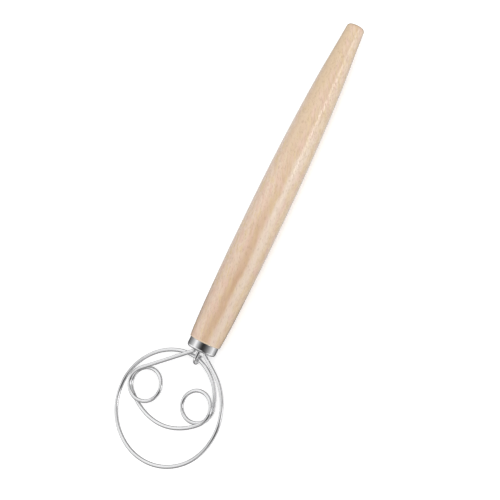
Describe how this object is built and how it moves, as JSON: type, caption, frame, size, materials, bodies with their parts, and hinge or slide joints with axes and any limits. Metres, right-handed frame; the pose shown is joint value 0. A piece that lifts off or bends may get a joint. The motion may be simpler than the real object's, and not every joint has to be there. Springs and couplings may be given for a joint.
{
  "type": "dough whisk",
  "caption": "Hand tool for mixing stiff dough: a turned wooden handle, a steel ferrule and a flat head of one looped round wire.",
  "frame": {"origin": "the point on the table top under the middle of the tool's box, with the tool laid down flat", "axes": "+X along the handle's axis from the head to the butt, +Z out of the front of the flat head, +Y to the left of the head as seen from the front with the handle up"},
  "size_m": [0.3409, 0.0846, 0.0268],
  "materials": {
    "handle_wood": "smooth sanded pale hardwood, oiled, satin",
    "ferrule_steel": "polished stainless steel, drawn cup",
    "wire_steel": "polished stainless steel round wire",
    "adhesive": "cured amber adhesive"
  },
  "bodies": {
    "root": {"handle": "handle_wood", "ferrule": "ferrule_steel", "whisk_wire": "wire_steel", "retaining_hook": "wire_steel", "adhesive_plug": "adhesive"}
  },
  "joints": []
}
